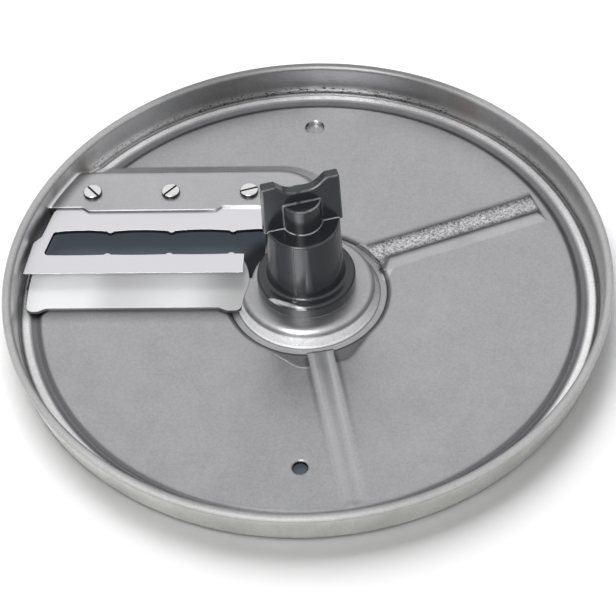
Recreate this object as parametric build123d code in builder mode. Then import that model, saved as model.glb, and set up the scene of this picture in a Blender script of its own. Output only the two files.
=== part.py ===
import os
from math import cos, radians, sin, sqrt, tan

from build123d import *

# Slicing disc of a small food processor, standing on the underside of its pan.
# X runs along the blade, the cutting edge faces -Y, the drive axis is Z.

# Pan sheet and its levels
sheet = 1.2
pad_rise = 0.8
land_rise = 5.3
floor_top = sheet
pad_top = floor_top + pad_rise
land_top = floor_top + land_rise
land_under = land_top - sheet
land_lip = 0.6
tang_top = land_top - land_lip

# Upturned rim with its rolled edge
rim_radius = 87.5
rim_height = 12.2
rim_edge = 2.6
rim_lean = 3.5
bend_radius = 2.0

# Ring groove and ledge at the foot of the wall
wall_gap = 0.8
valley_width = 0.4
ledge_width = 2.3
groove_slope = 1.6
form_round = 0.5

# Raised pad
pad_slope = 1.6
pad_step = 0.1
pad_corner = 4.0
pad_ramp_lap = 1.5

# Hub boss, a cone pressed up out of the sheet
boss_foot_radius = 20.8
boss_top_radius = 18.9
boss_groove = 2.2
boss_round = 2.2

# Blade land, level with the top of the boss
land_back = 45.3
land_right = 2.0
land_corner = 12.0
land_slope = 6.3
land_knee = 2.9
land_knee_rise = 1.0
land_round = 3.0
land_wall_bite = 0.2

# Throat opening in front of the land
land_front = 28.9
throat_front = 1.5
throat_right = -12.5
throat_wall = 1.4
throat_step = 1.5
throat_step_run = 1.9
throat_step_end = 10.8
throat_step_right = -28.4
throat_corner = 3.0
boss_collar = 1.8

# Two pressed beads: places across each one and the rise over the pad there
side_bead_angle = 22.0
side_bead_section = ((-0.9, 0), (2.2, 1.0), (3.7, 0.4), (9.8, 0.4), (11.8, 0))
side_bead_start = 18.0
side_bead_gap = 4.0
front_bead_angle = -78.3
front_bead_section = ((-4.2, 0), (-2.3, 0.4), (-0.7, 0.3), (1.1, 0.4), (3.4, 0))
front_bead_start = 22.0
front_bead_gap = 2.1
bead_inset = 0.9
bead_end_slope = 1.6
root_flare_spread = 38.0
root_flare_end = 26.5
root_flare_neck = 13.0
root_flare_corner = 4.0
root_flare_mouth = 9.0

# Small holes in the pad
hole_radius = 2.1
hole_gap = 16.3
hole_break = 0.35
dent_radius = 2.9
dent_gap = 10.9
dent_tilt = 12.0
dent_thick = 0.75

# Blade plate
blade_thick = 1.2
blade_edge = 4.0
blade_lift = 0.4
blade_bevel = 3.0
blade_edge_thick = 0.15
blade_wall_gap = 0.6
blade_jog = 19.0
blade_jog_step = 1.6
blade_jog_run = 2.5
blade_back_step = 1.0
blade_right = -13.6
blade_back = 42.0
tang_gap = 0.6
tang_side_gap = 0.4
arm_right = -18.8
blade_bend_gap = 0.6
window_end_web = 4.3
window_front = 11.5
window_back = 20.8
window_slant = 2.1
window_corner = 1.2
lobe_rise_front = 0.2
lobe_rise_back = 0.7
neck_first = 19.1
neck_end_gap = 3.8
neck_count = 3
neck_radius = 1.2
neck_reach = 0.5

# Ramp plate in front of the cutting edge
ramp_thick = 1.0
ramp_front = -6.6
ramp_back = 13.0
ramp_tilt = 2.5
ramp_end_gap = 0.8
ramp_right = -19.5
ramp_right_bulge = 2.4
ramp_ear = 3.6
ramp_ear_reach = 1.3
ramp_ear_run = 2.6
ramp_ear_round = 2.0
ramp_seat_end = 4.3
ramp_seat_right = -24.0
ramp_seat_inset = 0.5
ramp_gap = 0.4

# Blade screws and nuts
screw_size = 3.0
screw_fit = 0.05
screw_hole_gap = 0.2
screw_row = 36.4
screw_wall_gap = 7.2
screw_end_gap = 5.0
screw_tip = 0.7
screw_head_radius = 2.8
screw_head_height = 1.1
screw_head_round = 0.5
slot_width = 0.65
slot_depth = 0.6
slot_turns = (-48.0, 48.0, 18.0)
nut_flats = 5.5
nut_height = 2.4

# Moulded hub
spigot_radius = 9.0
spigot_gap = 0.2
spigot_bottom = 1.0
flange_radius = 14.2
flange_height = 4.6
flange_round = 1.2
column_foot_radius = 11.0
column_top_radius = 10.5
column_height = 20.9
column_round = 0.6
socket_radius = 5.6
socket_height = 9.0
fin_width_foot = 22.6
fin_width_top = 21.9
fin_thick = 3.0
fin_height = 16.4
fin_turn = 15.5
fin_round = 0.7
fin_edge_round = 0.35
root_round = 1.0
horn_width = 3.8
dip_depth = 3.4
dip_floor = 7.2
dip_round = 5.0
bore_radius = 4.0
bore_roof = 2.2
key_width = 4.0
key_depth = 3.0
seam_angle = -103.5
seam_width = 0.5
seam_rise = 0.15
seam_root = 1.0
gate_radius = 0.5

# Hub fastening under the boss
washer_radius = 14.4
washer_thick = 1.5
hub_screw_circle = 12.0
hub_screw_count = 3
hub_screw_turn = 40.0
hub_screw_depth = 3.2
pilot_spare = 0.6


def chord_end(radius, y):
    # Place along X where a line at y meets a circle, on the blade's side of the axis
    return -sqrt(radius**2 - y**2)


# Sizes that follow from those above
wall_foot_radius = rim_radius - rim_lean
ledge_outer = wall_foot_radius - wall_gap
ledge_inner = ledge_outer - ledge_width
groove_radius = ledge_inner - groove_slope
throat_radius = wall_foot_radius - throat_wall
throat_step_left = chord_end(throat_radius, land_front) + throat_step_end
pad_reach = groove_radius - form_round
hub_reach = boss_foot_radius + boss_groove
side_bead_end = groove_radius - side_bead_gap
front_bead_end = groove_radius - front_bead_gap
hole_reach = groove_radius - hole_gap
dent_reach = groove_radius - dent_gap
ramp_radius = throat_radius - ramp_end_gap
ramp_seat_left = ramp_seat_end - ramp_radius
ramp_fall = tan(radians(ramp_tilt))
tang_under = tang_top - blade_thick
bend_line = land_front - blade_bend_gap
tang_shoulder = land_front + throat_step + blade_bend_gap
blade_reach = wall_foot_radius - blade_wall_gap
window_left = chord_end(blade_reach, window_front) + window_end_web
neck_left = window_left + neck_first
neck_pitch = (arm_right - neck_end_gap - neck_left) / (neck_count - 1)
screw_first = chord_end(throat_radius - screw_wall_gap, screw_row)
screw_pitch = (blade_right - screw_end_gap - screw_first) / (len(slot_turns) - 1)
screw_spots = [(screw_first + i * screw_pitch, screw_row) for i in range(len(slot_turns))]
flange_top = land_top + flange_height
column_top = flange_top + column_height
washer_under = land_under - washer_thick


def ramp_level(y):
    # Height of the ramp plate's underside at a place along Y
    return pad_top - (y - ramp_front) * ramp_fall


def root_flare():
    # Outline of the recess where the front bead leaves the boss
    mouth_along = hub_reach * cos(radians(root_flare_spread))
    mouth_across = hub_reach * sin(radians(root_flare_spread))
    with BuildSketch(Plane.XY.rotated((0, 0, front_bead_angle))) as plan:
        with BuildLine():
            Polyline(
                (0, 0),
                (mouth_along, -mouth_across),
                (root_flare_end, -root_flare_neck / 2),
                (root_flare_end, root_flare_neck / 2),
                (mouth_along, mouth_across),
                close=True,
            )
        make_face()
        for side in (-1, 1):
            corner = (root_flare_end, side * root_flare_neck / 2)
            fillet(plan.vertices().sort_by_distance(corner)[0], root_flare_corner)
    return plan.sketch


def pad_block(inset, top):
    # The raised pad, open behind the ramp plate's front and recessed at the root of the front bead
    bay_front = ramp_front + pad_ramp_lap
    bay_depth = land_back - bay_front
    with BuildPart() as block:
        with BuildSketch() as plan:
            Circle(pad_reach)
            Circle(hub_reach, mode=Mode.SUBTRACT)
            with Locations((land_right, bay_front)):
                Rectangle(2 * rim_radius, bay_depth, align=(Align.MAX, Align.MIN), mode=Mode.SUBTRACT)
            for reach in (hub_reach, pad_reach):
                corner = (chord_end(reach, bay_front), bay_front)
                fillet(plan.vertices().sort_by_distance(corner)[0], pad_corner)
            add(root_flare(), mode=Mode.SUBTRACT)
            for turn in (-root_flare_spread, root_flare_spread):
                side = radians(front_bead_angle + turn)
                mouth = (hub_reach * cos(side), hub_reach * sin(side))
                fillet(plan.vertices().sort_by_distance(mouth)[0], root_flare_mouth)
            if inset:
                offset(amount=-inset)
        extrude(amount=top)
        crown = block.faces().sort_by(Axis.Z)[-1]
        chamfer(crown.edges(), length=pad_slope, length2=pad_rise - pad_step, reference=crown)
    return block.part


def bead_block(angle, section, start, end, under):
    # A long pressed bead on the pad, or the groove under it; its hub end follows the boss groove
    along = (cos(radians(angle)), sin(radians(angle)), 0)
    left = (-along[1], along[0], 0)
    inset = bead_inset if under else 0
    base = pad_rise if under else pad_top
    top = base + max(rise for place, rise in section)
    first, last = section[0][0] + inset, section[-1][0] - inset
    crest = [(place, base + rise) for place, rise in section[1:-1]]
    with BuildPart() as block:
        with BuildSketch(Plane(origin=(along[0] * start, along[1] * start, 0), x_dir=left, z_dir=along)):
            with BuildLine():
                Polyline((first, 0), (first, base), *crest, (last, base), (last, 0), close=True)
            make_face()
        tip = end - inset
        extrude(amount=tip - start)
        with BuildSketch(Plane(origin=(0, 0, 0), x_dir=along, z_dir=(along[1], -along[0], 0))):
            with BuildLine():
                Polyline((tip - bead_end_slope, top), (tip, base), (tip, top), close=True)
            make_face()
        extrude(amount=rim_radius, both=True, mode=Mode.SUBTRACT)
        with BuildSketch():
            Circle(hub_reach + inset)
        extrude(amount=land_top, mode=Mode.SUBTRACT)
    return block.part


def land_plan(reach):
    # Outline of the land, with its back and its hub end moved out by reach
    with BuildSketch() as plan:
        with BuildLine():
            Polyline(
                (-rim_radius, land_front + throat_step),
                (throat_step_left - throat_step_run, land_front + throat_step),
                (throat_step_left - throat_step_run, land_front - throat_step),
                (throat_right - throat_step, land_front - throat_step),
                (throat_right - throat_step, 0),
                (land_right + reach, 0),
                (land_right + reach, land_back + reach),
                (-rim_radius, land_back + reach),
                close=True,
            )
        make_face()
        corner = (land_right + reach, land_back + reach)
        fillet(plan.vertices().sort_by_distance(corner)[0], land_corner + reach)
    return plan.sketch


def land_block(inset, top):
    # The land's pressed form: a flat top with a long slope at its back and hub end, up to the wall
    foot = top - land_rise + pad_rise
    wall_run = (rim_radius - rim_edge - wall_foot_radius) * (land_top - pad_top) / (rim_height - pad_top)
    reach, lean = (throat_radius, 0) if inset else (wall_foot_radius, wall_run + land_wall_bite)
    with BuildPart() as block:
        with BuildSketch():
            add(land_plan(land_slope - inset))
        extrude(amount=foot)
        for level, spread in ((foot, land_slope), (foot + land_knee_rise, land_knee), (top, 0)):
            with BuildSketch(Plane.XY.offset(level)):
                add(land_plan(spread - inset))
        loft(ruled=True)
        edges = block.faces().sort_by(Axis.Z)[-1].edges()
        brow = edges.filter_by(GeomType.CIRCLE) + edges.group_by(Axis.X)[-1] + edges.group_by(Axis.Y)[-1]
        fillet(brow, land_round)
        with BuildSketch(Plane.XZ):
            with BuildLine():
                Polyline((0, 0), (reach, 0), (reach, foot), (reach + lean, top), (0, top), close=True)
            make_face()
        revolve(axis=Axis.Z, mode=Mode.INTERSECT)
    return block.part


def boss_block(inset, top):
    # The boss's cone, with its foot on the sheet
    with BuildPart() as block:
        with BuildSketch(Plane.XZ) as section:
            with BuildLine():
                Polyline(
                    (0, top - land_rise - sheet),
                    (boss_foot_radius - inset, top - land_rise - sheet),
                    (boss_foot_radius - inset, top - land_rise),
                    (boss_top_radius - inset, top),
                    (0, top),
                    close=True,
                )
            make_face()
            shoulder = section.vertices().sort_by_distance((boss_top_radius - inset, top))[0]
            fillet(shoulder, boss_round - inset)
        revolve(axis=Axis.Z)
    return block.part


def throat_plan():
    # Outline of the opening, with a step back at each end of the land's front edge
    back = land_front + throat_step
    with BuildSketch() as plan:
        with BuildLine():
            Polyline(
                (-rim_radius, throat_front),
                (-rim_radius, back),
                (throat_step_left - throat_step_run, back),
                (throat_step_left, land_front),
                (throat_step_right, land_front),
                (throat_step_right + throat_step_run, back),
                (throat_right, back),
                (throat_right, throat_front),
                close=True,
            )
        make_face()
        corner = plan.vertices().sort_by_distance((throat_right, back))[0]
        fillet(corner, throat_corner)
        Circle(throat_radius, mode=Mode.INTERSECT)
        Circle(flange_radius + boss_collar, mode=Mode.SUBTRACT)
    return plan.sketch


def ramp_plan(grow):
    # Outline of the ramp plate, with a rounded ear at each front corner
    ear_front = ramp_front - ramp_ear_reach
    left_ear = ramp_ear - ramp_radius
    right_ear = ramp_right - ramp_ear
    ear_bends = (
        (left_ear, ear_front),
        (left_ear + ramp_ear_run, ramp_front),
        (right_ear - ramp_ear_run, ramp_front),
        (right_ear, ear_front),
    )
    with BuildSketch() as plan:
        with BuildLine():
            edge = Polyline(
                (ramp_right, ramp_back),
                (-rim_radius, ramp_back),
                (-rim_radius, ear_front),
                *ear_bends,
                (ramp_right, ear_front),
            )
            ThreePointArc(
                edge @ 1,
                (ramp_right + ramp_right_bulge, (ramp_front + ramp_back) / 2),
                edge @ 0,
            )
        make_face()
        Circle(ramp_radius, mode=Mode.INTERSECT)
        ends = plan.vertices().group_by(Axis.Y)[0].sort_by(Axis.X)
        fillet((ends[0], ends[-1]), ramp_ear_round)
        for bend in ear_bends:
            fillet(plan.vertices().sort_by_distance(bend)[0], ramp_ear_round)
        if grow:
            offset(amount=grow)
    return plan.sketch


side_bead = (side_bead_angle, side_bead_section, side_bead_start, side_bead_end)
front_bead = (front_bead_angle, front_bead_section, front_bead_start, front_bead_end)
raised_forms = (
    pad_block(0, pad_top),
    land_block(0, land_top),
    boss_block(0, land_top),
    bead_block(*side_bead, False),
    bead_block(*front_bead, False),
)
hollow_forms = (
    pad_block(sheet, pad_rise),
    land_block(sheet, land_under),
    boss_block(sheet, land_under),
    bead_block(*side_bead, True),
    bead_block(*front_bead, True),
)
throat_outline = throat_plan()
ramp_outline = ramp_plan(0)
ramp_pocket = ramp_plan(ramp_gap)
ramp_slant = (0, sin(radians(ramp_tilt)), cos(radians(ramp_tilt)))
ramp_place = Plane(origin=(0, 0, ramp_level(0)), x_dir=(1, 0, 0), z_dir=ramp_slant)
dent_slant = (0, sin(radians(dent_tilt)), cos(radians(dent_tilt)))
dent_place = Plane(origin=(0, dent_reach - dent_radius, pad_top), x_dir=(1, 0, 0), z_dir=dent_slant)

# Pressed pan
with BuildPart() as disc_pan:
    lip = rim_edge / 2
    with BuildSketch(Plane.XZ) as section:
        with BuildLine():
            inside = Polyline(
                (0, 0),
                (0, floor_top),
                (groove_radius, floor_top),
                (ledge_inner, pad_top),
                (ledge_outer, pad_top),
                (ledge_outer + valley_width, floor_top),
                (wall_foot_radius, pad_top),
                (rim_radius - rim_edge, rim_height - lip),
            )
            edge = ThreePointArc(inside @ 1, (rim_radius - lip, rim_height), (rim_radius, rim_height - lip))
            Polyline(
                edge @ 1,
                (wall_foot_radius + sheet, 0),
                (ledge_outer, 0),
                (ledge_outer - form_round, pad_rise),
                (ledge_inner + form_round, pad_rise),
                (groove_radius + form_round, 0),
                (0, 0),
            )
        make_face()
        ledge_corners = section.vertices().filter_by_position(Axis.X, ledge_inner, ledge_outer)
        fillet(ledge_corners.group_by(Axis.Y)[-1], form_round)
        foot = section.vertices().sort_by_distance((wall_foot_radius + sheet, 0))[0]
        fillet(foot, bend_radius)
    revolve(axis=Axis.Z)
    add(raised_forms)

    # Sloping seat of the ramp plate
    with BuildSketch(Plane.YZ.offset(ramp_seat_left)):
        seat_front = ramp_front + ramp_seat_inset
        with BuildLine():
            Polyline(
                (seat_front, pad_rise),
                (throat_front, pad_rise),
                (throat_front, ramp_level(throat_front)),
                (seat_front, ramp_level(seat_front)),
                close=True,
            )
        make_face()
    extrude(amount=ramp_seat_right - ramp_seat_left)
    add(hollow_forms, mode=Mode.SUBTRACT)

    # Recess in the land's underside for the blade's tang
    with BuildSketch():
        Circle(throat_radius)
        with Locations((blade_right + tang_side_gap, land_front - throat_step)):
            Rectangle(
                rim_radius,
                blade_back + tang_side_gap - land_front + throat_step,
                align=(Align.MAX, Align.MIN),
                mode=Mode.INTERSECT,
            )
    extrude(amount=tang_top, mode=Mode.SUBTRACT)

    # Room for the ramp plate and the throat behind it
    with BuildSketch(ramp_place):
        add(ramp_pocket)
    extrude(amount=land_top, mode=Mode.SUBTRACT)
    with BuildSketch():
        add(throat_outline)
    extrude(amount=rim_height, both=True, mode=Mode.SUBTRACT)

    # Half-round tab pressed down out of the pad
    with BuildSketch(dent_place):
        with Locations((0, dent_radius)):
            Circle(dent_radius)
    extrude(amount=-dent_thick)
    with BuildSketch(dent_place):
        with Locations((0, dent_radius)):
            Circle(dent_radius)
    extrude(amount=pad_top, mode=Mode.SUBTRACT)

    # Holes for the hub, its screws and the blade screws, and the one in the pad
    with Locations((0, 0, land_top)):
        Hole(spigot_radius + spigot_gap)
        with PolarLocations(hub_screw_circle, hub_screw_count, hub_screw_turn):
            Hole(screw_size / 2 + screw_hole_gap)
    with Locations([(x, y, land_top) for x, y in screw_spots]):
        Hole(screw_size / 2 + screw_hole_gap)
    with Locations((0, -hole_reach, pad_top)):
        Hole(hole_radius)
    mouth = disc_pan.edges().filter_by(GeomType.CIRCLE).sort_by_distance((0, -hole_reach, pad_top))
    chamfer(mouth.filter_by(lambda e: e.radius == hole_radius).sort_by(Axis.Z)[-1], hole_break)

# Slicing blade: flat tang under the land, front bent up to the cutting edge
with BuildPart() as blade:
    blade_fall = blade_lift / (bend_line - blade_edge)
    bevel_end = blade_edge + blade_bevel
    with BuildSketch(Plane.YZ.offset(-rim_radius)):
        with BuildLine():
            Polyline(
                (blade_back, tang_under),
                (blade_back, tang_top),
                (bend_line, tang_top),
                (blade_edge, tang_top + blade_lift),
                (blade_edge, tang_top + blade_lift - blade_edge_thick),
                (bevel_end, tang_under + (bend_line - bevel_end) * blade_fall),
                (bend_line, tang_under),
                close=True,
            )
        make_face()
    extrude(amount=rim_radius)
    with BuildSketch() as plan:
        window_middle = (window_front + window_back) / 2
        with BuildLine():
            Polyline(
                (arm_right, blade_edge),
                (chord_end(blade_reach, blade_edge), blade_edge),
                (chord_end(blade_reach, blade_jog - blade_jog_run), blade_jog - blade_jog_run),
                (chord_end(blade_reach - blade_jog_step, blade_jog), blade_jog),
                (chord_end(blade_reach - blade_back_step, land_front), land_front),
                (chord_end(throat_radius - tang_gap, tang_shoulder), tang_shoulder),
                (chord_end(throat_radius - tang_gap, blade_back), blade_back),
                (blade_right, blade_back),
                (blade_right, window_middle),
                (arm_right, window_middle),
                close=True,
            )
        make_face()
        necks = [neck_left + i * neck_pitch for i in range(neck_count)]
        with BuildLine():
            Line((window_left, window_front), (window_left + window_slant, window_back))
            Line((0, window_front), (0, window_back))
            edges = (
                (window_front, -lobe_rise_front, window_left),
                (window_back, lobe_rise_back, window_left + window_slant),
            )
            for level, rise, end in edges:
                joints = (end, *necks, 0)
                for i in range(len(necks) + 1):
                    middle = ((joints[i] + joints[i + 1]) / 2, level + rise)
                    ThreePointArc((joints[i], level), middle, (joints[i + 1], level))
        make_face(mode=Mode.SUBTRACT)
        for end in ((window_left, window_front), (window_left + window_slant, window_back)):
            fillet(plan.vertices().sort_by_distance(end)[0], window_corner)
        neck_centre = neck_radius - neck_reach
        with Locations(
            [(x, window_front - neck_centre) for x in necks], [(x, window_back + neck_centre) for x in necks]
        ):
            Circle(neck_radius)
        with Locations(screw_spots):
            Circle(screw_size / 2 + screw_hole_gap, mode=Mode.SUBTRACT)
    extrude(amount=rim_height, mode=Mode.INTERSECT)

# Ramp plate welded to its seat
with BuildPart() as ramp_plate:
    with BuildSketch(ramp_place):
        add(ramp_outline)
    extrude(amount=ramp_thick)

# Slotted pan-head screws through land and tang
with BuildPart() as blade_screws:
    with BuildSketch(Plane.XY.offset(screw_tip)):
        with Locations(screw_spots):
            Circle(screw_size / 2 - screw_fit)
    extrude(amount=land_top - screw_tip)
    with BuildSketch(Plane.XY.offset(land_top)):
        with Locations(screw_spots):
            Circle(screw_head_radius)
    extrude(amount=screw_head_height)
    fillet(blade_screws.edges().group_by(Axis.Z)[-1], screw_head_round)
    with BuildSketch(Plane.XY.offset(land_top + screw_head_height)):
        with Locations([Location((*spot, 0), (0, 0, turn)) for spot, turn in zip(screw_spots, slot_turns)]):
            Rectangle(2 * screw_head_radius, slot_width)
    extrude(amount=-slot_depth, mode=Mode.SUBTRACT)

# Hexagon nuts under the tang
with BuildPart() as blade_nuts:
    with BuildSketch(Plane.XY.offset(tang_under)):
        with Locations(screw_spots):
            RegularPolygon(nut_flats / 2, 6, major_radius=False)
            Circle(screw_size / 2, mode=Mode.SUBTRACT)
    extrude(amount=-nut_height)

# Moulded hub with its carrying fin
with BuildPart() as hub:
    with BuildSketch(Plane.XZ) as section:
        with BuildLine():
            Polyline(
                (0, spigot_bottom),
                (spigot_radius, spigot_bottom),
                (spigot_radius, land_top),
                (flange_radius, land_top),
                (flange_radius, flange_top),
                (column_foot_radius, flange_top),
                (column_top_radius, column_top),
                (0, column_top),
                close=True,
            )
        make_face()
        fillet(section.vertices().sort_by_distance((flange_radius, flange_top))[0], flange_round)
        fillet(section.vertices().sort_by_distance((column_foot_radius, flange_top))[0], root_round)
        fillet(section.vertices().sort_by_distance((column_top_radius, column_top))[0], column_round)
    revolve(axis=Axis.Z)
    fin_top = column_top + fin_height
    dip = fin_top - dip_depth
    horn = fin_width_top / 2 - horn_width
    fin_plane = Plane(
        origin=(0, 0, 0), x_dir=(cos(radians(fin_turn)), sin(radians(fin_turn)), 0),
        z_dir=(sin(radians(fin_turn)), -cos(radians(fin_turn)), 0),
    )
    with BuildSketch(fin_plane) as fin_face:
        with BuildLine():
            Polyline(
                (-fin_width_foot / 2, column_top - column_round),
                (-fin_width_top / 2, fin_top),
                (-horn, fin_top),
                (-dip_floor / 2, dip),
                (dip_floor / 2, dip),
                (horn, fin_top),
                (fin_width_top / 2, fin_top),
                (fin_width_foot / 2, column_top - column_round),
                close=True,
            )
        make_face()
        fillet(fin_face.vertices().filter_by_position(Axis.Y, dip, dip), dip_round)
        fillet(fin_face.vertices().filter_by_position(Axis.Y, fin_top, fin_top), fin_round)
    extrude(amount=fin_thick / 2, both=True)
    with BuildSketch(Plane.XY.offset(column_top - column_round)):
        Circle(socket_radius)
    extrude(amount=socket_height + column_round)
    fillet(hub.edges().filter_by_position(Axis.Z, column_top + fin_round, fin_top), fin_edge_round)

    # Mould seam down the column, ending in the gate's dot
    seam_side = (cos(radians(seam_angle)), sin(radians(seam_angle)), 0)
    with BuildSketch(Plane(origin=(0, 0, 0), x_dir=seam_side, z_dir=(seam_side[1], -seam_side[0], 0))):
        with BuildLine():
            Polyline(
                (column_foot_radius - seam_root, flange_top),
                (column_foot_radius + seam_rise, flange_top),
                (column_top_radius + seam_rise, column_top - column_round),
                (column_top_radius - seam_root, column_top - column_round),
                close=True,
            )
        make_face()
    extrude(amount=seam_width / 2, both=True)
    gate_reach = column_foot_radius + root_round
    with Locations((seam_side[0] * gate_reach, seam_side[1] * gate_reach, flange_top)):
        Sphere(gate_radius)

    # Drive bore with its cross key slot, and the pilot holes of the screws
    with BuildSketch(Plane.XY.offset(spigot_bottom)):
        Circle(bore_radius)
    extrude(amount=column_top + socket_height - bore_roof - spigot_bottom, mode=Mode.SUBTRACT)
    with BuildSketch(Plane.XY.offset(spigot_bottom)):
        Rectangle(2 * spigot_radius, key_width)
    extrude(amount=key_depth, mode=Mode.SUBTRACT)
    with BuildSketch(Plane.XY.offset(land_top)):
        with PolarLocations(hub_screw_circle, hub_screw_count, hub_screw_turn):
            Circle(screw_size / 2)
    extrude(amount=hub_screw_depth + pilot_spare, mode=Mode.SUBTRACT)

# Backing ring under the boss
with BuildPart() as hub_ring:
    with BuildSketch(Plane.XY.offset(washer_under)):
        Circle(washer_radius)
        Circle(spigot_radius + spigot_gap, mode=Mode.SUBTRACT)
        with PolarLocations(hub_screw_circle, hub_screw_count, hub_screw_turn):
            Circle(screw_size / 2 + screw_hole_gap, mode=Mode.SUBTRACT)
    extrude(amount=washer_thick)

# Pan-head screws driven up into the hub
with BuildPart() as hub_screws:
    with BuildSketch(Plane.XY.offset(washer_under)):
        with PolarLocations(hub_screw_circle, hub_screw_count, hub_screw_turn):
            Circle(screw_size / 2 - screw_fit)
    extrude(amount=land_top + hub_screw_depth - washer_under)
    with BuildSketch(Plane.XY.offset(washer_under)):
        with PolarLocations(hub_screw_circle, hub_screw_count, hub_screw_turn):
            Circle(screw_head_radius)
    extrude(amount=-screw_head_height)
    fillet(hub_screws.edges().group_by(Axis.Z)[0], screw_head_round)
    with BuildSketch(Plane.XY.offset(washer_under - screw_head_height)):
        with PolarLocations(hub_screw_circle, hub_screw_count, hub_screw_turn):
            Rectangle(2 * screw_head_radius, slot_width)
    extrude(amount=slot_depth, mode=Mode.SUBTRACT)

os.makedirs("parts", exist_ok=True)
pieces = {
    "disc_pan": disc_pan,
    "blade": blade,
    "ramp_plate": ramp_plate,
    "blade_screws": blade_screws,
    "blade_nuts": blade_nuts,
    "hub": hub,
    "hub_ring": hub_ring,
    "hub_screws": hub_screws,
}
for name, piece in pieces.items():
    piece.part.label = name
    export_step(piece.part, f"parts/{name}.step")
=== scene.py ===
import math
import bpy
from mathutils import Matrix, Vector


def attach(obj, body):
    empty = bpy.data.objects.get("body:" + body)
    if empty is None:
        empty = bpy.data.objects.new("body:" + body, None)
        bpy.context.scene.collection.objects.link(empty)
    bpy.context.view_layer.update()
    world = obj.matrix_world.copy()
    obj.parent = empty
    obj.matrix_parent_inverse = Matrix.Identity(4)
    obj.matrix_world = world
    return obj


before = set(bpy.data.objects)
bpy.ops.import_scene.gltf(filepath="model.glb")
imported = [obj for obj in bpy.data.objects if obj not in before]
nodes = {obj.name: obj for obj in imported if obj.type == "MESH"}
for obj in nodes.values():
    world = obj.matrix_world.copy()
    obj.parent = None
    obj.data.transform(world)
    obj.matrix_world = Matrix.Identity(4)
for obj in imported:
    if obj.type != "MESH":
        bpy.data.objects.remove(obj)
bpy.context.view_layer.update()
scene = bpy.context.scene
scene.view_settings.view_transform = "Standard"
bpy.ops.object.select_all(action="DESELECT")
print("frame loaded:", len(nodes), "nodes")


# Small helpers for node trees

noiseMiddle = 0.5
edgeSamples = 4


def newMaterial(name):
    material = bpy.data.materials.new(name)
    material.use_nodes = True
    tree = material.node_tree
    return material, tree, tree.nodes["Principled BSDF"]


def addNode(tree, kind, **settings):
    node = tree.nodes.new(kind)
    for key, value in settings.items():
        setattr(node, key, value)
    return node


def link(tree, source, target):
    tree.links.new(source, target)


def feed(tree, socket, value):
    # A number is set on the socket, a colour is set as opaque, another node's output is linked
    if isinstance(value, (int, float)):
        socket.default_value = value
    elif isinstance(value, tuple):
        socket.default_value = (*value, 1)
    else:
        link(tree, value, socket)


def mathNode(tree, operation, first, second=None, clamp=False):
    node = addNode(tree, "ShaderNodeMath", operation=operation, use_clamp=clamp)
    feed(tree, node.inputs[0], first)
    if second is not None:
        feed(tree, node.inputs[1], second)
    return node.outputs[0]


def product(tree, first, *others):
    for other in others:
        first = mathNode(tree, "MULTIPLY", first, other)
    return first


def flip(tree, mask):
    return mathNode(tree, "SUBTRACT", 1.0, mask)


def raised(tree, value, mask, amount):
    # The value with some of the mask added, or taken off where the amount is negative
    return mathNode(tree, "ADD", value, product(tree, mask, amount))


def dimmed(tree, value, mask, share):
    # The value with a share of itself taken off where the mask is full
    return product(tree, value, flip(tree, product(tree, mask, share)))


def centred(tree, value, amount, middle):
    # Turns a 0..1 noise into a small swing round a middle value
    swing = mathNode(tree, "MULTIPLY", mathNode(tree, "SUBTRACT", value, noiseMiddle), amount)
    return mathNode(tree, "ADD", swing, middle)


def smoothStep(tree, value, start, end):
    # 0 before start, 1 after end, soft between
    node = addNode(tree, "ShaderNodeMapRange", interpolation_type="SMOOTHSTEP")
    link(tree, value, node.inputs["Value"])
    node.inputs["From Min"].default_value = start
    node.inputs["From Max"].default_value = end
    return node.outputs[0]


def smoothBand(tree, value, low, high, soft):
    # 1 between low and high, fading to 0 over soft on both sides
    rise = smoothStep(tree, value, low - soft, low)
    fall = smoothStep(tree, value, high + soft, high)
    return product(tree, rise, fall)


def noise(tree, vector, scale, detail, roughness):
    node = addNode(tree, "ShaderNodeTexNoise")
    node.inputs["Scale"].default_value = scale
    node.inputs["Detail"].default_value = detail
    node.inputs["Roughness"].default_value = roughness
    link(tree, vector, node.inputs["Vector"])
    return node.outputs["Fac"]


def splitAxes(tree, vector):
    node = addNode(tree, "ShaderNodeSeparateXYZ")
    link(tree, vector, node.inputs[0])
    return node.outputs["X"], node.outputs["Y"], node.outputs["Z"]


def measure(tree, operation, first, second=None):
    # A number taken from vectors: a length, a distance from a place or a dot product
    node = addNode(tree, "ShaderNodeVectorMath", operation=operation)
    link(tree, first, node.inputs[0])
    if isinstance(second, tuple):
        node.inputs[1].default_value = second
    elif second is not None:
        link(tree, second, node.inputs[1])
    return node.outputs["Value"]


def turnedPlace(tree, coords, angle):
    # Places along and across a line through the axis at this angle
    turn = addNode(tree, "ShaderNodeMapping", vector_type="TEXTURE")
    turn.inputs["Rotation"].default_value = (0, 0, math.radians(angle))
    link(tree, coords, turn.inputs["Vector"])
    return splitAxes(tree, turn.outputs[0])[:2]


def mixColor(tree, factor, first, second):
    node = addNode(tree, "ShaderNodeMix", data_type="RGBA")
    for name, value in (("Factor", factor), ("A", first), ("B", second)):
        feed(tree, node.inputs[name], value)
    return node.outputs["Result"]


def setColor(tree, shader, color, shade):
    # Base colour times a shade that varies over the surface
    node = addNode(tree, "ShaderNodeVectorMath", operation="SCALE")
    if isinstance(color, tuple):
        node.inputs[0].default_value = color
    else:
        link(tree, color, node.inputs[0])
    link(tree, shade, node.inputs["Scale"])
    link(tree, node.outputs[0], shader.inputs["Base Color"])


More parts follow.
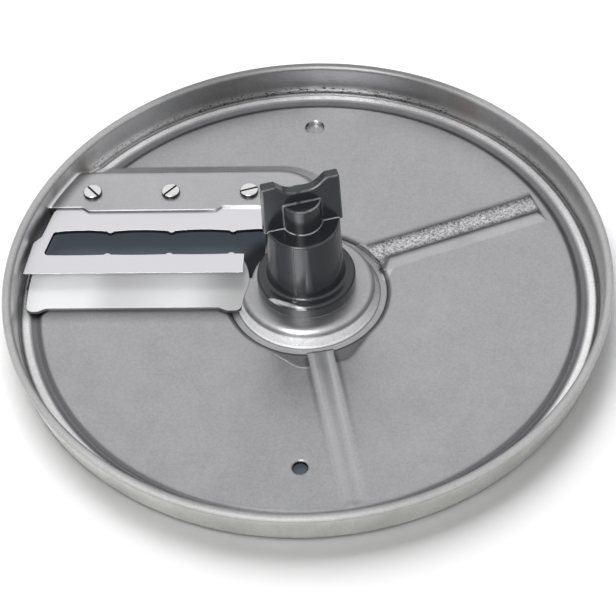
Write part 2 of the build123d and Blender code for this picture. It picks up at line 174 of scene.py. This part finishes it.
def setNormal(tree, shader, height, bump, edgeRadius):
    # Rounded edges first, the surface's own relief on top of them
    edge = addNode(tree, "ShaderNodeBevel", samples=edgeSamples)
    edge.inputs["Radius"].default_value = edgeRadius
    relief = addNode(tree, "ShaderNodeBump")
    relief.inputs["Distance"].default_value = bump["distance"]
    relief.inputs["Strength"].default_value = bump["strength"]
    link(tree, height, relief.inputs["Height"])
    link(tree, edge.outputs[0], relief.inputs["Normal"])
    link(tree, relief.outputs[0], shader.inputs["Normal"])


# Shared finish: tumbled grain, mottling and fine scratches of sheet steel

grainLook = {
    "grainDetail": 2.0,
    "mottleDetail": 5.0,
    "mottleRoughness": 0.65,
    # Turn and squeeze of each set of scratches
    "scratches": ((0.5, 26.0), (2.1, 31.0)),
    "scratchScale": 60.0,
    "scratchDetail": 2.0,
    "scratchFrom": 0.62,
    "scratchGain": 5.0,
}


def addScratches(group, vector):
    # Two noises, stretched in different directions
    parts = []
    for turn, squeeze in grainLook["scratches"]:
        place = addNode(group, "ShaderNodeMapping")
        place.inputs["Rotation"].default_value = (0, 0, turn)
        place.inputs["Scale"].default_value = (1.0, squeeze, 1.0)
        link(group, vector, place.inputs["Vector"])
        line = addNode(group, "ShaderNodeTexNoise")
        line.inputs["Scale"].default_value = grainLook["scratchScale"]
        line.inputs["Detail"].default_value = grainLook["scratchDetail"]
        link(group, place.outputs[0], line.inputs["Vector"])
        crest = mathNode(group, "SUBTRACT", line.outputs["Fac"], grainLook["scratchFrom"], clamp=True)
        parts.append(crest)
    both = mathNode(group, "ADD", *parts)
    return mathNode(group, "MULTIPLY", both, grainLook["scratchGain"], clamp=True)


def buildSteelGrain():
    group = bpy.data.node_groups.new("steelGrain", "ShaderNodeTree")
    face = group.interface
    face.new_socket(name="Vector", in_out="INPUT", socket_type="NodeSocketVector")
    for name in ("Grain Scale", "Mottle Scale", "Streak"):
        face.new_socket(name=name, in_out="INPUT", socket_type="NodeSocketFloat")
    for name in ("Grain", "Mottle", "Scratch"):
        face.new_socket(name=name, in_out="OUTPUT", socket_type="NodeSocketFloat")
    inputs = addNode(group, "NodeGroupInput")
    outputs = addNode(group, "NodeGroupOutput")
    vector = inputs.outputs["Vector"]

    grain = addNode(group, "ShaderNodeTexNoise")
    grain.inputs["Detail"].default_value = grainLook["grainDetail"]
    mottle = addNode(group, "ShaderNodeTexNoise")
    mottle.inputs["Detail"].default_value = grainLook["mottleDetail"]
    mottle.inputs["Roughness"].default_value = grainLook["mottleRoughness"]
    for name, node in (("Grain", grain), ("Mottle", mottle)):
        link(group, vector, node.inputs["Vector"])
        link(group, inputs.outputs[name + " Scale"], node.inputs["Scale"])
        link(group, node.outputs["Fac"], outputs.inputs[name])
    scratch = product(group, addScratches(group, vector), inputs.outputs["Streak"])
    link(group, scratch, outputs.inputs["Scratch"])
    return group


steelGrain = buildSteelGrain()


def placeGrain(tree, values):
    coords = addNode(tree, "ShaderNodeTexCoord")
    grain = addNode(tree, "ShaderNodeGroup")
    grain.node_tree = steelGrain
    link(tree, coords.outputs["Object"], grain.inputs["Vector"])
    for name, value in values.items():
        grain.inputs[name].default_value = value
    return coords.outputs["Object"], grain.outputs


# Pan: tumbled matte sheet, with smoother pressed edges carrying painted highlights and a rough band at
# the wall's foot

# Colour of the painted shade in grooves, along creases, beside the beads, on cut faces and before the
# ramp plate
paintedShade = (0.055, 0.055, 0.058)
panLook = {
    "grain": {"Grain Scale": 1700.0, "Mottle Scale": 110.0, "Streak": 0.6},
    "cloud": {"scale": 38.0, "detail": 4.0, "roughness": 0.6},
    "roughness": 0.36,
    "bump": {"distance": 0.00006, "strength": 0.6},
    "edge": 0.0010,
    # Pairs run from none to full. Threes are a band's low end, its high end and its soft edge
    "rim": {
        "wall": (0.0836, 0.0840),
        "outer": (-0.3, 0.5),
        "skirt": (0.010, -0.010),
        "ledge": (0.0815, 0.0825, 0.0008),
        "ledgeTop": (0.0030, 0.0026),
        "lip": (0.0106, 0.0112),
        "nearLip": (-0.066, -0.082),
        "leftWall": (-0.030, -0.078),
        "backWall": (0.062, 0.080),
        "pitBand": (0.0024, 0.0040, 0.0010),
        "pitNoise": {"scale": 1300.0, "detail": 2.0, "roughness": 0.6},
        "pitCut": (0.55, 0.66),
        "heatMark": {"place": (0.0465, 0.0708, 0.0088), "reach": (0.0085, 0.00255), "share": 0.5},
        "tarnish": {"cut": (0.58, 0.70), "share": 0.5},
    },
    "pad": {
        "upper": (0.1, 0.5),
        "low": (0.00198, 0.00165),
        "recessShadeDepth": 0.62,
        "dent": {"place": (0.0, 0.0684, 0.002), "past": (0.0033, 0.0037)},
        "steep": (0.30, 0.10),
        "cutEdges": (0.0225, 0.0846, 0.0002),
        "cutFacing": (-0.85, -0.65),
    },
    "boss": {
        "ring": (0.0212, 0.0228, 0.0004),
        "ringLines": ((0.0209, 0.0209, 0.0005), (0.0232, 0.0232, 0.0005)),
        "lineShade": 0.9,
        "shoulder": (0.0190, 0.0208, 0.0003),
        "shoulderHeight": (0.0016, 0.0040, 0.0008),
        "foot": (0.034, 0.030),
    },
    "land": {"radius": (0.0226, 0.0236), "height": (0.0052, 0.0060), "end": (0.0792, 0.0835)},
    "rampShadow": {
        "y": (-0.0066, 0.0, 0.0059),
        "x": (-0.018, -0.022),
        "height": (0.0030, 0.0025),
        "share": 0.55,
    },
    "sideBead": {
        "angle": 22.0,
        "along": (0.0226, 0.0748, 0.0006),
        "mouth": (0.0270, 0.0228),
        "mouthBend": 0.0033,
        "trough": (0.0005, 0.0097, 0.0005),
        "troughFront": (0.0033, 0.0038),
        "crown": (0.0050, 0.0068, 0.0020),
        "slope": (-0.0004, 0.0014, 0.0010),
        "frontLine": (0.0032, 0.0032, 0.0024),
        "backLine": (0.0098, 0.0098, 0.0018),
        "lineShade": 0.66,
        "pepper": {"scale": 1500.0, "detail": 3.0, "roughness": 0.7},
    },
    "frontBead": {
        "angle": -78.3,
        "along": (0.0245, 0.0770, 0.0015),
        "ridges": ((-0.0025, -0.0019, 0.0011), (0.0009, 0.0015, 0.0011)),
        "flanks": ((-0.0046, -0.0046, 0.0013), (0.0038, 0.0038, 0.0013)),
        "ridgeHighlightFade": {"amount": 0.7, "middle": 0.65},
        "flankShadeDepth": 0.5,
    },
    # Colours laid over the pad's in this order
    "padColor": (0.385, 0.385, 0.40),
    "layers": {
        "wall": (0.42, 0.42, 0.42),
        # Painted light on the left of the wall
        "leftWall": (0.74, 0.74, 0.74),
        "brown": (0.36, 0.31, 0.27),
        # Painted light on the near half of the outer wall
        "skirt": (0.86, 0.86, 0.83),
        # Painted highlight along the ledge
        "ledge": (0.86, 0.86, 0.865),
        "ring": (0.42, 0.42, 0.43),
        "recess": paintedShade,
        "ringLine": paintedShade,
        "beadLine": paintedShade,
        "rampShadow": paintedShade,
        "flank": paintedShade,
        # Painted highlight on the boss's shoulder
        "shoulder": (0.78, 0.78, 0.785),
        "lip": (0.46, 0.46, 0.46),
        "cut": paintedShade,
    },
    # How much each mask lightens, darkens, roughens, scatters or lifts the sheet
    "swing": {"mottle": 0.30, "grain": 0.34, "cloud": 0.22},
    # Painted highlight on the front bead's ridges; the specks are the side bead's own
    "pressedLight": {"speck": 4.48, "ridge": 0.24, "land": 0.14},
    # Painted shade on the back of the wall and lip, on the lip at the front and at the land's end
    "paintedShadeShare": {"backWall": 0.5, "nearLip": 0.15, "landEnd": 0.62},
    # Painted highlight on the side bead's crown and painted light on its slope; the pits and scratches
    # are the sheet's own
    "sheenAndMarks": {"crown": 0.22, "slope": 0.42, "pits": -0.48, "scratch": -0.10},
    "bounceShare": 0.42,
    "roughSwing": 0.20,
    "roughening": {"ledge": -0.10, "shoulder": -0.08, "bead": 0.06, "hubFoot": 0.25, "nearLip": 0.28},
    "scatter": {"shoulder": 0.7, "ledge": 0.40, "lip": 0.5},
    "relief": {"grain": 0.35, "pepper": 2.6, "pits": -1.5, "scratch": -0.25},
}


def panPlaces(tree, coords):
    # Where a point of the sheet lies, and how far the sheet faces up and away from the axis there
    x, y, height = splitAxes(tree, coords)
    flat = addNode(tree, "ShaderNodeCombineXYZ")
    link(tree, x, flat.inputs["X"])
    link(tree, y, flat.inputs["Y"])
    spoke = addNode(tree, "ShaderNodeVectorMath", operation="NORMALIZE")
    link(tree, flat.outputs[0], spoke.inputs[0])
    normal = addNode(tree, "ShaderNodeNewGeometry").outputs["Normal"]
    return {
        "coords": coords,
        "x": x,
        "y": y,
        "height": height,
        "radius": measure(tree, "LENGTH", flat.outputs[0]),
        "up": splitAxes(tree, normal)[2],
        "outward": measure(tree, "DOT_PRODUCT", normal, spoke.outputs[0]),
    }


def rimMasks(tree, at, cloud):
    look = panLook["rim"]
    wall = smoothStep(tree, at["radius"], *look["wall"])
    outer = smoothStep(tree, at["outward"], *look["outer"])
    bounce = product(tree, wall, outer)
    # A painted highlight runs along the rounded ledge
    ledge = smoothBand(tree, at["radius"], *look["ledge"])
    lip = product(tree, wall, smoothStep(tree, at["height"], *look["lip"]))

    # Dark pits along the lower part of the wall's inside
    pitBand = product(tree, smoothBand(tree, at["height"], *look["pitBand"]), wall, flip(tree, outer))
    pitNoise = noise(tree, at["coords"], **look["pitNoise"])

    # A heat mark and cloudy tarnish on the wall
    mark = look["heatMark"]
    heat = smoothStep(tree, measure(tree, "DISTANCE", at["coords"], mark["place"]), *mark["reach"])
    tarnish = product(tree, smoothStep(tree, cloud, *look["tarnish"]["cut"]), look["tarnish"]["share"])
    brown = mathNode(tree, "MAXIMUM", product(tree, heat, mark["share"]), tarnish)
    return {
        "wall": wall,
        "inside": flip(tree, wall),
        "bounce": bounce,
        # Painted light on the near half of the outer wall
        "skirt": product(tree, bounce, smoothStep(tree, at["y"], *look["skirt"])),
        "ledge": product(tree, ledge, smoothStep(tree, at["height"], *look["ledgeTop"])),
        "lip": lip,
        # Painted shade on the lip at the front and on the back of the wall, painted light on its left
        "nearLip": product(tree, lip, smoothStep(tree, at["y"], *look["nearLip"])),
        "leftWall": product(tree, wall, smoothStep(tree, at["x"], *look["leftWall"])),
        "backWall": product(tree, wall, smoothStep(tree, at["y"], *look["backWall"])),
        "pits": product(tree, smoothStep(tree, pitNoise, *look["pitCut"]), pitBand),
        "brown": product(tree, wall, brown),
    }


def padMasks(tree, at, inside):
    # Painted shade darkens what lies below the pad, and the sheared edges too
    look = panLook["pad"]
    boss = panLook["boss"]
    upper = smoothStep(tree, at["up"], *look["upper"])
    low = smoothStep(tree, at["height"], *look["low"])
    hubRing = smoothBand(tree, at["radius"], *boss["ring"])
    fromDent = measure(tree, "DISTANCE", at["coords"], look["dent"]["place"])
    pastDent = smoothStep(tree, fromDent, *look["dent"]["past"])
    steep = smoothStep(tree, at["up"], *look["steep"])
    opening = smoothBand(tree, at["radius"], *look["cutEdges"])
    cutFacing = smoothStep(tree, at["outward"], *look["cutFacing"])
    # Round the boss lies a ring with a line of painted shade on each side, and a painted highlight on
    # the shoulder above it
    lines = [smoothBand(tree, at["radius"], *line) for line in boss["ringLines"]]
    foot = smoothStep(tree, at["radius"], *boss["foot"])
    shoulder = smoothBand(tree, at["radius"], *boss["shoulder"])
    return {
        "recess": product(tree, low, upper, inside, flip(tree, hubRing), pastDent, look["recessShadeDepth"]),
        "cut": product(tree, steep, opening, cutFacing),
        "ring": product(tree, hubRing, low),
        "ringLine": product(tree, mathNode(tree, "ADD", *lines), upper, boss["lineShade"]),
        "hubFoot": product(tree, low, foot, inside),
        "shoulder": product(tree, shoulder, smoothBand(tree, at["height"], *boss["shoulderHeight"])),
    }


def landMasks(tree, at, inside):
    # The land is brighter than the pad, and has painted shade where it runs into the wall
    look = panLook["land"]
    land = product(tree, smoothStep(tree, at["radius"], *look["radius"]), inside)
    land = product(tree, land, smoothStep(tree, at["height"], *look["height"]))
    landEnd = product(tree, land, smoothStep(tree, at["radius"], *look["end"]))

    # Painted shadow on the pad before the ramp plate
    castShadow = panLook["rampShadow"]
    rampShadow = smoothBand(tree, at["y"], *castShadow["y"])
    rampShadow = product(tree, rampShadow, smoothStep(tree, at["x"], *castShadow["x"]), inside)
    rampShadow = product(tree, rampShadow, smoothStep(tree, at["height"], *castShadow["height"]), castShadow["share"])
    return {"land": land, "landEnd": landEnd, "rampShadow": rampShadow}


def sideBeadMasks(tree, at):
    # Rough bead: a speckled trough with a painted highlight along its crown, two lines of painted shade
    # and painted light on the slope in front
    look = panLook["sideBead"]
    along, across = turnedPlace(tree, at["coords"], look["angle"])
    length = smoothBand(tree, along, *look["along"])
    # Its front line turns down into the ring round the boss
    bent = raised(tree, across, smoothStep(tree, along, *look["mouth"]), look["mouthBend"])
    trough = smoothBand(tree, across, *look["trough"])
    bead = product(tree, trough, length, smoothStep(tree, bent, *look["troughFront"]))
    frontLine = smoothBand(tree, bent, *look["frontLine"])
    backLine = smoothBand(tree, across, *look["backLine"])
    pepper = noise(tree, at["coords"], **look["pepper"])
    return {
        "bead": bead,
        "pepper": product(tree, bead, pepper),
        "speck": product(tree, bead, mathNode(tree, "SUBTRACT", pepper, noiseMiddle)),
        "crown": product(tree, smoothBand(tree, across, *look["crown"]), length),
        "slope": product(tree, smoothBand(tree, bent, *look["slope"]), length),
        "beadLine": product(tree, mathNode(tree, "ADD", frontLine, backLine), length, look["lineShade"]),
    }


def frontBeadMasks(tree, at):
    # Painted highlights on two ridges, with painted shade beside them near the hub
    look = panLook["frontBead"]
    along, across = turnedPlace(tree, at["coords"], look["angle"])
    length = smoothBand(tree, along, *look["along"])
    nearHub = smoothStep(tree, along, look["along"][1], look["along"][0])
    ridges = [smoothBand(tree, across, *ridge) for ridge in look["ridges"]]
    flanks = [smoothBand(tree, across, *flank) for flank in look["flanks"]]
    highlightReach = centred(tree, nearHub, **look["ridgeHighlightFade"])
    flank = product(tree, mathNode(tree, "ADD", *flanks), length, nearHub, nearHub)
    return {
        "ridge": product(tree, mathNode(tree, "ADD", *ridges), length, highlightReach),
        "flank": product(tree, flank, look["flankShadeDepth"]),
    }


def panColor(tree, mask):
    color = panLook["padColor"]
    for name, layer in panLook["layers"].items():
        color = mixColor(tree, mask[name], color, layer)
    return color


def panShade(tree, mask):
    shade = 1.0
    for name, amount in panLook["swing"].items():
        shade = product(tree, shade, centred(tree, mask[name], amount, 1.0))
    for name, amount in panLook["pressedLight"].items():
        shade = raised(tree, shade, mask[name], amount)
    for name, share in panLook["paintedShadeShare"].items():
        shade = dimmed(tree, shade, mask[name], share)
    for name, amount in panLook["sheenAndMarks"].items():
        shade = raised(tree, shade, mask[name], amount)
    # The skirt throws little light back on the floor, which keeps the contact shadow dark
    paths = addNode(tree, "ShaderNodeLightPath")
    bounce = product(tree, mask["bounce"], paths.outputs["Is Diffuse Ray"])
    return dimmed(tree, shade, bounce, panLook["bounceShare"])


def panRoughness(tree, mask):
    rough = centred(tree, mask["mottle"], panLook["roughSwing"], panLook["roughness"])
    for name, amount in panLook["roughening"].items():
        rough = raised(tree, rough, mask[name], amount)
    return rough


def panMetal(tree, mask):
    # The boss's slope and the ledge, where highlights are painted, and the lip scatter more light
    scatter = 0.0
    for name, share in panLook["scatter"].items():
        scatter = mathNode(tree, "MAXIMUM", scatter, product(tree, mask[name], share))
    return flip(tree, scatter)


def panRelief(tree, mask):
    relief = 0.0
    for name, amount in panLook["relief"].items():
        relief = raised(tree, relief, mask[name], amount)
    return relief


def buildPanSteel():
    material, tree, shader = newMaterial("panSteel")
    coords, grain = placeGrain(tree, panLook["grain"])
    at = panPlaces(tree, coords)
    mask = {"mottle": grain["Mottle"], "grain": grain["Grain"], "scratch": grain["Scratch"]}
    mask["cloud"] = noise(tree, coords, **panLook["cloud"])
    mask.update(rimMasks(tree, at, mask["cloud"]))
    mask.update(padMasks(tree, at, mask["inside"]))
    mask.update(landMasks(tree, at, mask["inside"]))
    mask.update(sideBeadMasks(tree, at))
    mask.update(frontBeadMasks(tree, at))
    setColor(tree, shader, panColor(tree, mask), panShade(tree, mask))
    link(tree, panRoughness(tree, mask), shader.inputs["Roughness"])
    link(tree, panMetal(tree, mask), shader.inputs["Metallic"])
    setNormal(tree, shader, panRelief(tree, mask), panLook["bump"], panLook["edge"])
    return material


# Blade and ramp plate: ground and polished strip

blade = {
    "color": (0.66, 0.655, 0.685),
    "roughness": 0.30,
    "metallic": 1.0,
    "edge": 0.0002,
    "edgeShade": 0.75,
}
ramp = {
    "color": (0.96, 0.965, 0.975),
    "roughness": 0.36,
    "metallic": 0.35,
    "edge": 0.0002,
    "edgeShade": 0.85,
    # Places along the plate and how bright the painted shade and reflection leave it there
    "shadeStops": ((-0.0790, 1.0), (-0.0660, 0.96), (-0.0560, 0.72), (-0.0360, 0.86), (-0.0210, 0.52)),
}


# Screws, nuts and ring: bright plated steel

screw = {
    "color": (0.70, 0.70, 0.70),
    "roughness": 0.30,
    "metallic": 1.0,
    "edge": 0.0001,
    "slotShade": (0.00748, 0.00738),
}
nut = {"color": (0.62, 0.62, 0.63), "roughness": 0.30, "metallic": 1.0, "edge": 0.0002}
ring = {"color": (0.58, 0.58, 0.59), "roughness": 0.34, "metallic": 1.0, "edge": 0.0003}


# Grinding lines and scratches that all of these share

ground = {
    "grain": {"Grain Scale": 2600.0, "Mottle Scale": 60.0, "Streak": 0.5},
    "stretch": (1.0, 30.0, 1.0),
    "lines": {"scale": 160.0, "detail": 3.0, "roughness": 0.6},
    "mottleSwing": 0.05,
    "lineSwing": 0.03,
    "scratchLight": -0.03,
    "roughSwing": 0.10,
    "scratchRough": 0.06,
    "lineRelief": 0.2,
    "bump": {"distance": 0.000005, "strength": 0.4},
    "steep": (0.40, 0.15),
    "slotShadeShare": 0.94,
}


def shadeAlongPlate(tree, coords, stops):
    # Painted shade and reflection: a brightness that runs smoothly through the stops along X
    first, last = stops[0][0], stops[-1][0]
    place = addNode(tree, "ShaderNodeMapRange")
    link(tree, splitAxes(tree, coords)[0], place.inputs["Value"])
    place.inputs["From Min"].default_value = first
    place.inputs["From Max"].default_value = last
    curve = addNode(tree, "ShaderNodeValToRGB")
    curve.color_ramp.interpolation = "EASE"
    elements = curve.color_ramp.elements
    while len(elements) < len(stops):
        elements.new(0.5)
    for element, (x, level) in zip(elements, stops):
        element.position = (x - first) / (last - first)
        element.color = (level, level, level, 1)
    link(tree, place.outputs[0], curve.inputs[0])
    return curve.outputs["Color"]


def shearedEdge(tree):
    # 1 on the steep faces round a plate
    shape = addNode(tree, "ShaderNodeNewGeometry")
    up = splitAxes(tree, shape.outputs["Normal"])[2]
    return smoothStep(tree, mathNode(tree, "ABSOLUTE", up), *ground["steep"])


def buildPolishedSteel(name, look):
    material, tree, shader = newMaterial(name)
    coords, grain = placeGrain(tree, ground["grain"])
    lay = addNode(tree, "ShaderNodeMapping")
    lay.inputs["Scale"].default_value = ground["stretch"]
    link(tree, coords, lay.inputs["Vector"])
    lines = noise(tree, lay.outputs[0], **ground["lines"])

    shade = centred(tree, grain["Mottle"], ground["mottleSwing"], 1.0)
    shade = product(tree, shade, centred(tree, lines, ground["lineSwing"], 1.0))
    shade = raised(tree, shade, grain["Scratch"], ground["scratchLight"])
    if "shadeStops" in look:
        shade = product(tree, shade, shadeAlongPlate(tree, coords, look["shadeStops"]))
    if "edgeShade" in look:
        # Painted shade makes the sheared edges darker than the polished faces
        shade = dimmed(tree, shade, shearedEdge(tree), look["edgeShade"])
    if "slotShade" in look:
        # Painted shade in the slots and round the heads
        slotShaded = smoothStep(tree, splitAxes(tree, coords)[2], *look["slotShade"])
        shade = dimmed(tree, shade, slotShaded, ground["slotShadeShare"])
    setColor(tree, shader, look["color"], shade)

    rough = centred(tree, grain["Mottle"], ground["roughSwing"], look["roughness"])
    rough = raised(tree, rough, grain["Scratch"], ground["scratchRough"])
    link(tree, rough, shader.inputs["Roughness"])
    shader.inputs["Metallic"].default_value = look["metallic"]
    relief = raised(tree, grain["Grain"], lines, ground["lineRelief"])
    setNormal(tree, shader, relief, ground["bump"], look["edge"])
    return material


# Hub: black moulded plastic, slightly mottled, with painted highlights along its edges

hub = {
    "color": (0.013, 0.015, 0.018),
    "highlightColor": (0.85, 0.86, 0.87),
    "grain": {"Grain Scale": 1500.0, "Mottle Scale": 140.0, "Streak": 0.4},
    "mottleSwing": 0.9,
    "roughness": 0.20,
    "roughSwing": 0.22,
    "gloss": 0.62,
    "edge": 0.0006,
    "grainRelief": 0.5,
    "bump": {"distance": 0.00004, "strength": 0.35},
    "highlightReach": (0.98, 0.86),
    "highlightPatches": {"amount": 1.4, "middle": 0.72},
    "seam": {"angle": -103.5, "across": (-0.0005, 0.0005, 0.0002), "along": (0.0, 0.001), "share": 0.75},
    "flangeShine": {
        "angle": -112.0,
        "along": (0.0132, 0.0137, 0.0005),
        "across": (-0.0060, 0.0060, 0.004),
        "height": (0.0100, 0.0110, 0.0003),
        "patches": (0.35, 0.60),
        "share": 0.45,
    },
}


def paintedEdgeHighlights(tree, coords, mottle):
    # Painted highlights on edges, found where a rounded normal turns away from the face's own, but not
    # on the mould's seam
    rounded = addNode(tree, "ShaderNodeBevel", samples=edgeSamples)
    rounded.inputs["Radius"].default_value = hub["edge"]
    shape = addNode(tree, "ShaderNodeNewGeometry")
    turn = measure(tree, "DOT_PRODUCT", rounded.outputs[0], shape.outputs["Normal"])
    highlight = smoothStep(tree, turn, *hub["highlightReach"])
    patchy = centred(tree, mottle, **hub["highlightPatches"])
    highlight = mathNode(tree, "MULTIPLY", highlight, patchy, clamp=True)
    seam = hub["seam"]
    along, across = turnedPlace(tree, coords, seam["angle"])
    onSeam = smoothBand(tree, across, *seam["across"])
    onSeam = product(tree, onSeam, smoothStep(tree, along, *seam["along"]))
    return dimmed(tree, highlight, onSeam, seam["share"])


def flangeHighlight(tree, coords, mottle):
    # Painted highlight, bright along the flange's rounded edge
    shine = hub["flangeShine"]
    along, across = turnedPlace(tree, coords, shine["angle"])
    height = splitAxes(tree, coords)[2]
    rubbed = smoothBand(tree, along, *shine["along"])
    rubbed = product(tree, rubbed, smoothBand(tree, across, *shine["across"]))
    rubbed = product(tree, rubbed, smoothBand(tree, height, *shine["height"]))
    return product(tree, rubbed, smoothStep(tree, mottle, *shine["patches"]), shine["share"])


def buildHubPlastic():
    material, tree, shader = newMaterial("hubPlastic")
    coords, grain = placeGrain(tree, hub["grain"])
    mottle = grain["Mottle"]
    edges = paintedEdgeHighlights(tree, coords, mottle)
    highlight = mathNode(tree, "MAXIMUM", edges, flangeHighlight(tree, coords, mottle))
    color = mixColor(tree, highlight, hub["color"], hub["highlightColor"])
    setColor(tree, shader, color, centred(tree, mottle, hub["mottleSwing"], 1.0))
    rough = centred(tree, mottle, hub["roughSwing"], hub["roughness"])
    link(tree, rough, shader.inputs["Roughness"])
    shader.inputs["Specular IOR Level"].default_value = hub["gloss"]
    relief = raised(tree, mottle, grain["Grain"], hub["grainRelief"])
    setNormal(tree, shader, relief, hub["bump"], hub["edge"])
    return material


finishes = {
    "disc_pan": buildPanSteel(),
    "blade": buildPolishedSteel("bladeSteel", blade),
    "ramp_plate": buildPolishedSteel("rampSteel", ramp),
    "blade_screws": buildPolishedSteel("screwSteel", screw),
    "blade_nuts": buildPolishedSteel("nutSteel", nut),
    "hub": buildHubPlastic(),
    "hub_ring": buildPolishedSteel("ringSteel", ring),
    "hub_screws": buildPolishedSteel("hubScrewSteel", nut),
}
for name, material in finishes.items():
    for slot in nodes[name].material_slots:
        slot.material = material
print("materials set on", len(finishes), "nodes")


# Rolled rim: a smooth half-round edge along the top of the pan's wall

rimRoll = {
    "reach": 0.0862,
    "radius": 0.001315,
    "height": 0.0109,
    "around": 360,
    "across": 48,
    "cutGap": 0.000001,
    "smoothAngle": 40.0,
}


def buildRimRoll():
    middle = (0, 0, rimRoll["height"])
    bpy.ops.mesh.primitive_torus_add(
        location=middle,
        major_radius=rimRoll["reach"],
        minor_radius=rimRoll["radius"],
        major_segments=rimRoll["around"],
        minor_segments=rimRoll["across"],
    )
    roll = bpy.context.object
    roll.name = "rim_roll"
    bpy.ops.object.transform_apply(location=True)
    # Only the upper half shows, so the rest is cut off and the cut closed
    bpy.ops.object.mode_set(mode="EDIT")
    bpy.ops.mesh.select_all(action="SELECT")
    bpy.ops.mesh.bisect(
        plane_co=middle,
        plane_no=(0, 0, 1),
        clear_inner=True,
        threshold=rimRoll["cutGap"],
    )
    bpy.ops.mesh.bridge_edge_loops()
    bpy.ops.mesh.select_all(action="SELECT")
    bpy.ops.mesh.normals_make_consistent(inside=False)
    bpy.ops.object.mode_set(mode="OBJECT")
    bpy.ops.object.shade_smooth_by_angle(angle=math.radians(rimRoll["smoothAngle"]))
    roll.data.materials.append(finishes["disc_pan"])
    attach(roll, "root")
    print("rim roll:", len(roll.data.polygons), "faces")
    return roll


roll = buildRimRoll()


# Floor, light and camera

stage = {
    "floorSize": 6.0,
    "floorColor": (0.94, 0.94, 0.94),
    "floorRoughness": 0.9,
    "floorGlow": (0.06, 0.06, 0.06),
    "underShade": (0.0, 0.0835, 0.002),
    "underShadeColor": (0.055, 0.065, 0.075),
    "underShadeGlow": (0.050, 0.060, 0.070),
    "hubShade": (0.0, 0.023, 0.006),
    "hubShadeColor": (0.012, 0.013, 0.015),
    "skyLow": 0.30,
    "skyPeak": 1.18,
    "skyPeakHeight": 0.68,
    "skyTop": 0.66,
    "skyOnMatte": 0.32,
    "lights": (
        # name, place, width, height, watts, what it lights
        ("key", (-0.25, 0.66, 1.12), 1.0, 1.0, 19.5, "floor"),
        ("front", (-0.25, -0.92, 0.85), 0.5, 0.9, 16.0, "object"),
    ),
}
camera = {
    "place": (0.0342, -0.3828, 0.4372),
    "aim": (0.00016, -0.00467, 0.00016),
    "roll": -4.31,
    "lens": 116.9,
    "sensor": 36.0,
}


def buildFloor():
    bpy.ops.mesh.primitive_plane_add(size=stage["floorSize"], location=(0, 0, 0))
    floor = bpy.context.object
    floor.name = "floor"
    material, tree, shader = newMaterial("floorWhite")
    # Painted shade on the floor under the disc, seen only through its openings, and darker still below
    # the hub
    coords = addNode(tree, "ShaderNodeTexCoord")
    radius = measure(tree, "LENGTH", coords.outputs["Object"])
    underShade = smoothBand(tree, radius, *stage["underShade"])
    hubShade = smoothBand(tree, radius, *stage["hubShade"])
    color = mixColor(tree, underShade, stage["floorColor"], stage["underShadeColor"])
    link(tree, mixColor(tree, hubShade, color, stage["hubShadeColor"]), shader.inputs["Base Color"])
    shader.inputs["Roughness"].default_value = stage["floorRoughness"]
    shader.inputs["Specular IOR Level"].default_value = 0.0
    # The camera sees the open floor a little whiter, shadows included, and the painted shade under the
    # disc as plain glowing slate
    glow = mixColor(tree, underShade, stage["floorGlow"], stage["underShadeGlow"])
    link(tree, mixColor(tree, hubShade, glow, stage["hubShadeColor"]), shader.inputs["Emission Color"])
    paths = addNode(tree, "ShaderNodeLightPath")
    link(tree, paths.outputs["Is Camera Ray"], shader.inputs["Emission Strength"])
    floor.data.materials.append(material)
    return floor


def buildWorld():
    world = bpy.data.worlds.new("studio")
    scene.world = world
    world.use_nodes = True
    tree = world.node_tree
    back = tree.nodes["Background"]
    # Brightest at a middle height, greyer overhead and at the horizon
    coords = addNode(tree, "ShaderNodeTexCoord")
    height = splitAxes(tree, coords.outputs["Generated"])[2]
    low, peak, top = stage["skyLow"], stage["skyPeak"], stage["skyTop"]
    sky = raised(tree, low, smoothStep(tree, height, 0.0, stage["skyPeakHeight"]), peak - low)
    sky = raised(tree, sky, smoothStep(tree, height, stage["skyPeakHeight"], 1.0), top - peak)
    # Dimmer on what scatters light, and plain white for the camera
    paths = addNode(tree, "ShaderNodeLightPath")
    scattered = mathNode(tree, "MINIMUM", paths.outputs["Diffuse Depth"], 1.0)
    level = dimmed(tree, sky, scattered, 1.0 - stage["skyOnMatte"])
    strength = addNode(tree, "ShaderNodeMix", data_type="FLOAT")
    link(tree, paths.outputs["Is Camera Ray"], strength.inputs["Factor"])
    link(tree, level, strength.inputs["A"])
    strength.inputs["B"].default_value = 1.0
    back.inputs["Color"].default_value = (1, 1, 1, 1)
    link(tree, strength.outputs["Result"], back.inputs["Strength"])


def buildLights(floor, roll):
    # One lamp lights the floor alone and one the disc alone, so that the floor keeps its shadow
    lit = {"floor": [floor], "object": [*nodes.values(), roll]}
    for name, place, width, height, watts, target in stage["lights"]:
        lamp = bpy.data.lights.new(name, "AREA")
        lamp.shape = "RECTANGLE"
        lamp.size = width
        lamp.size_y = height
        lamp.energy = watts
        holder = bpy.data.objects.new(name, lamp)
        scene.collection.objects.link(holder)
        receivers = bpy.data.collections.new(name + "Receivers")
        for piece in lit[target]:
            receivers.objects.link(piece)
        holder.light_linking.receiver_collection = receivers
        holder.location = place
        holder.rotation_euler = (-Vector(place)).to_track_quat("-Z", "Y").to_euler()


def buildCamera():
    lens = bpy.data.cameras.new("camera")
    lens.sensor_width = camera["sensor"]
    lens.lens = camera["lens"]
    holder = bpy.data.objects.new("camera", lens)
    scene.collection.objects.link(holder)
    place = Vector(camera["place"])
    back = (place - Vector(camera["aim"])).normalized()
    right = Vector((0, 0, 1)).cross(back).normalized()
    up = back.cross(right)
    level = Matrix((right, up, back)).transposed().to_4x4()
    level.translation = place
    holder.matrix_world = level @ Matrix.Rotation(math.radians(camera["roll"]), 4, "Z")
    scene.camera = holder


floor = buildFloor()
buildWorld()
buildLights(floor, roll)
buildCamera()
print("stage, light and camera set")
